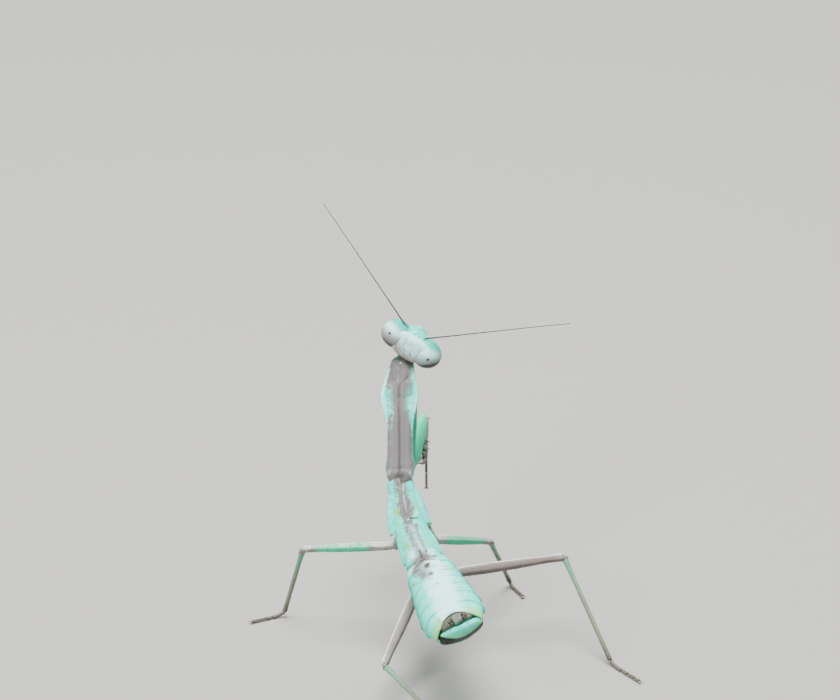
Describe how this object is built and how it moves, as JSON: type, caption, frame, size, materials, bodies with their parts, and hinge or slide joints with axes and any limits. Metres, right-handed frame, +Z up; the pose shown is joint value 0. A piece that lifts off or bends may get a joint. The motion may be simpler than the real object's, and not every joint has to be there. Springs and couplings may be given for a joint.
{
  "type": "praying mantis",
  "caption": "Standing figure of a young mantis with raised forebody, turned head, folded grasping forelegs and wing buds, for display.",
  "frame": {"origin": "on the floor under the middle of the bounding box", "axes": "+Z up, +Y towards the head along the abdomen, +X towards the animal's right"},
  "size_m": [0.0292, 0.0384, 0.0341],
  "materials": {
    "mauve_cuticle": "satin, finely grained cuticle",
    "mint_cuticle": "satin, finely grained cuticle",
    "pale_cuticle": "satin, faintly waxy cuticle",
    "ivory_cuticle": "satin, finely wrinkled cuticle",
    "compound_eye": "smooth, softly glossy facets",
    "jade_cuticle": "satin cuticle",
    "dun_cuticle": "satin cuticle",
    "umber_cuticle": "satin, darker horn-like cuticle"
  },
  "bodies": {
    "root": {"prothorax": "mauve_cuticle", "mesothorax": "mint_cuticle", "metathorax": "mint_cuticle", "tail_segments": "mint_cuticle", "subgenital_plate": "mint_cuticle", "neck": "mint_cuticle", "abdomen_1": "pale_cuticle", "abdomen_2": "pale_cuticle", "abdomen_3": "pale_cuticle", "abdomen_4": "pale_cuticle", "abdomen_5": "pale_cuticle", "abdomen_6": "pale_cuticle", "abdomen_7": "pale_cuticle", "mouthparts": "pale_cuticle", "supra_anal_plate": "umber_cuticle", "head_capsule": "ivory_cuticle", "left_fore_wing_pad": "mint_cuticle", "left_hind_wing_pad": "mint_cuticle", "left_cercus": "umber_cuticle", "left_antenna": "umber_cuticle", "left_fore_tibia": "umber_cuticle", "left_fore_tarsus": "umber_cuticle", "left_mid_tarsus": "umber_cuticle", "left_hind_tarsus": "umber_cuticle", "left_eye": "compound_eye", "left_mid_coxa": "mauve_cuticle", "left_hind_coxa": "mauve_cuticle", "left_mid_femur": "jade_cuticle", "left_fore_coxa": "jade_cuticle", "left_fore_femur": "jade_cuticle", "left_mid_tibia": "dun_cuticle", "left_hind_femur": "dun_cuticle", "left_hind_tibia": "dun_cuticle", "right_fore_wing_pad": "mint_cuticle", "right_hind_wing_pad": "mint_cuticle", "right_cercus": "umber_cuticle", "right_antenna": "umber_cuticle", "right_fore_tibia": "umber_cuticle", "right_fore_tarsus": "umber_cuticle", "right_mid_tarsus": "umber_cuticle", "right_hind_tarsus": "umber_cuticle", "right_eye": "compound_eye", "right_mid_coxa": "mauve_cuticle", "right_hind_coxa": "mauve_cuticle", "right_mid_femur": "jade_cuticle", "right_fore_coxa": "jade_cuticle", "right_fore_femur": "jade_cuticle", "right_mid_tibia": "dun_cuticle", "right_hind_femur": "dun_cuticle", "right_hind_tibia": "dun_cuticle"}
  },
  "joints": []
}
